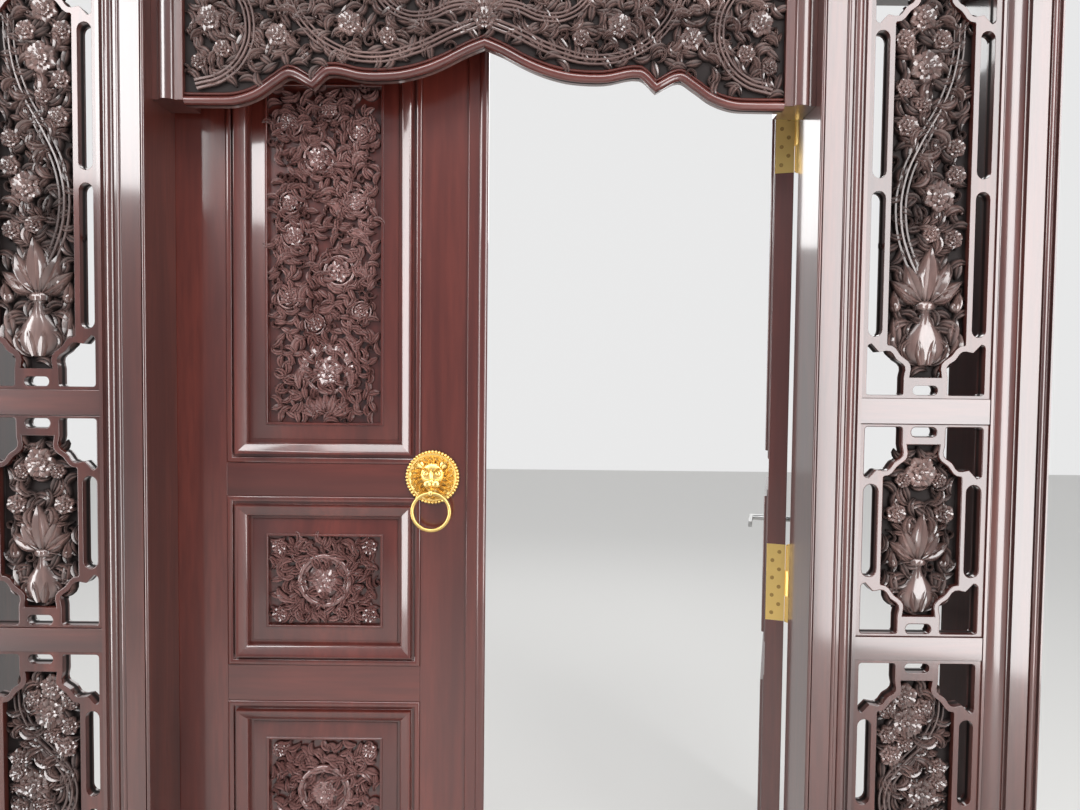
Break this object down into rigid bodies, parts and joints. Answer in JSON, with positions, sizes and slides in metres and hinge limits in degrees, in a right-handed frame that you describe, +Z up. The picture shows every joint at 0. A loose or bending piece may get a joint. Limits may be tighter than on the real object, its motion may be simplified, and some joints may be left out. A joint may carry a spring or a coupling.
{
  "type": "carved double door with frame",
  "caption": "Double-leaf carved hardwood door in a moulded frame with pierced side panels, a scalloped valance, butt hinges, a ring pull and a lever.",
  "frame": {"origin": "centre of the sill's underside: on the floor, in the middle of the doorway and of the posts' depth", "axes": "+X to the right seen from outside, +Y into the house, +Z up"},
  "size_m": [2.17, 0.822, 2.2],
  "materials": {
    "frame_wood": "gloss varnish",
    "carved_wood": "gloss varnish",
    "brass": "polished",
    "steel": "satin"
  },
  "bodies": {
    "frame": {"head_rail": "frame_wood", "left_hinge_pins": "brass", "left_inner_post": "frame_wood", "left_jamb_hinge_plates": "brass", "left_lower_cross_rail": "frame_wood", "left_lower_fretwork": "carved_wood", "left_middle_fretwork": "carved_wood", "left_outer_post": "frame_wood", "left_plinth_rail": "frame_wood", "left_upper_cross_rail": "frame_wood", "left_upper_fretwork": "carved_wood", "left_valance_block": "carved_wood", "right_hinge_pins": "brass", "right_inner_post": "frame_wood", "right_jamb_hinge_plates": "brass", "right_lower_cross_rail": "frame_wood", "right_lower_fretwork": "carved_wood", "right_middle_fretwork": "carved_wood", "right_outer_post": "frame_wood", "right_plinth_rail": "frame_wood", "right_upper_cross_rail": "frame_wood", "right_upper_fretwork": "carved_wood", "right_valance_block": "carved_wood", "threshold": "frame_wood", "valance_board": "carved_wood"},
    "left_leaf": {"left_hinge_stile": "frame_wood", "left_meeting_stile": "frame_wood", "left_top_rail": "frame_wood", "left_lock_rail": "frame_wood", "left_middle_rail": "frame_wood", "left_bottom_rail": "frame_wood", "left_upper_panel": "carved_wood", "left_middle_panel": "carved_wood", "left_lower_panel": "carved_wood", "left_panel_mouldings": "frame_wood", "left_leaf_hinge_plates": "brass", "astragal": "frame_wood", "pull_plate": "brass", "bolt_plates": "steel"},
    "right_leaf": {"right_hinge_stile": "frame_wood", "right_meeting_stile": "frame_wood", "right_top_rail": "frame_wood", "right_lock_rail": "frame_wood", "right_middle_rail": "frame_wood", "right_bottom_rail": "frame_wood", "right_upper_panel": "carved_wood", "right_middle_panel": "carved_wood", "right_lower_panel": "carved_wood", "right_panel_mouldings": "frame_wood", "right_leaf_hinge_plates": "brass", "handle_plates": "steel", "lock_case": "steel"},
    "ring": {"pull_ring": "brass"},
    "lever": {"lever_handles": "steel"},
    "top_bolt": {"upper_bolt": "steel"},
    "bottom_bolt": {"lower_bolt": "steel"}
  },
  "joints": [
    {"name": "left_leaf_hinge", "type": "hinge", "parent": "frame", "child": "left_leaf", "pos_m": [-0.6485, 0.0896, 0.9], "axis": [0, 0, 1], "range_deg": [0, 115]},
    {"name": "right_leaf_hinge", "type": "hinge", "parent": "frame", "child": "right_leaf", "pos_m": [0.6485, 0.0896, 0.9], "axis": [0, 0, -1], "range_deg": [-107, 8]},
    {"name": "ring_swing", "type": "hinge", "parent": "left_leaf", "child": "ring", "pos_m": [-0.107, 0.0175, 1.05], "axis": [-1, 0, 0], "range_deg": [-12, 95]},
    {"name": "lever_turn", "type": "hinge", "parent": "right_leaf", "child": "lever", "pos_m": [0.79341, 0.65284, 0.89], "axis": [0.9563, -0.2924, 0], "range_deg": [0, 45], "stiffness_Nm_per_rad": 1, "springref_deg": -22.92},
    {"name": "upper_bolt_slide", "type": "slide", "parent": "left_leaf", "child": "top_bolt", "axis": [0, 0, 1], "range_m": [0, 0.02]},
    {"name": "lower_bolt_slide", "type": "slide", "parent": "left_leaf", "child": "bottom_bolt", "axis": [0, 0, -1], "range_m": [0, 0.02]}
  ]
}
